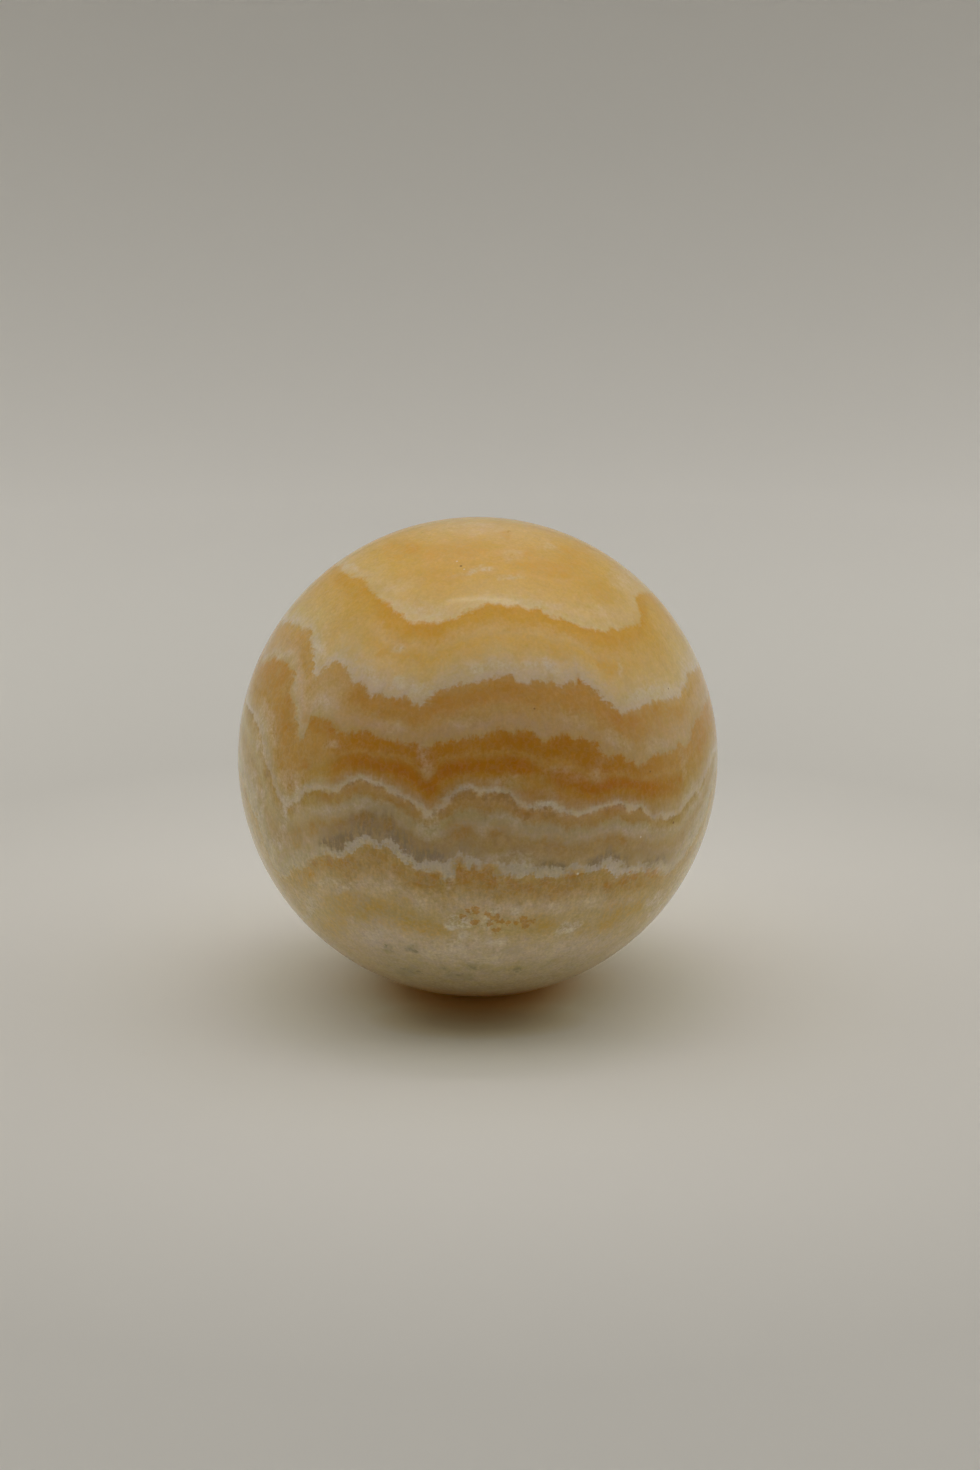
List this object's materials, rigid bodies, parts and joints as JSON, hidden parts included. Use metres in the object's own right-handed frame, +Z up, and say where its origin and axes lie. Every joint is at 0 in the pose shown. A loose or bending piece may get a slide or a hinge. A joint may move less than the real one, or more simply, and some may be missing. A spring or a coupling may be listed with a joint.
{
  "type": "polished calcite sphere",
  "caption": "Polished ball of banded orange calcite, cut from one piece, standing on a small flat ground on its underside.",
  "frame": {"origin": "middle of the small flat on the underside, on the surface the ball stands on", "axes": "+Z up; the pictured side faces -Y and +X is to its right; the stone's bands lie roughly level"},
  "size_m": [0.06, 0.06, 0.0598],
  "materials": {
    "calcite": "polished, translucent, with wavy orange, cream and white bands"
  },
  "bodies": {
    "root": {"calcite_sphere": "calcite"}
  },
  "joints": []
}
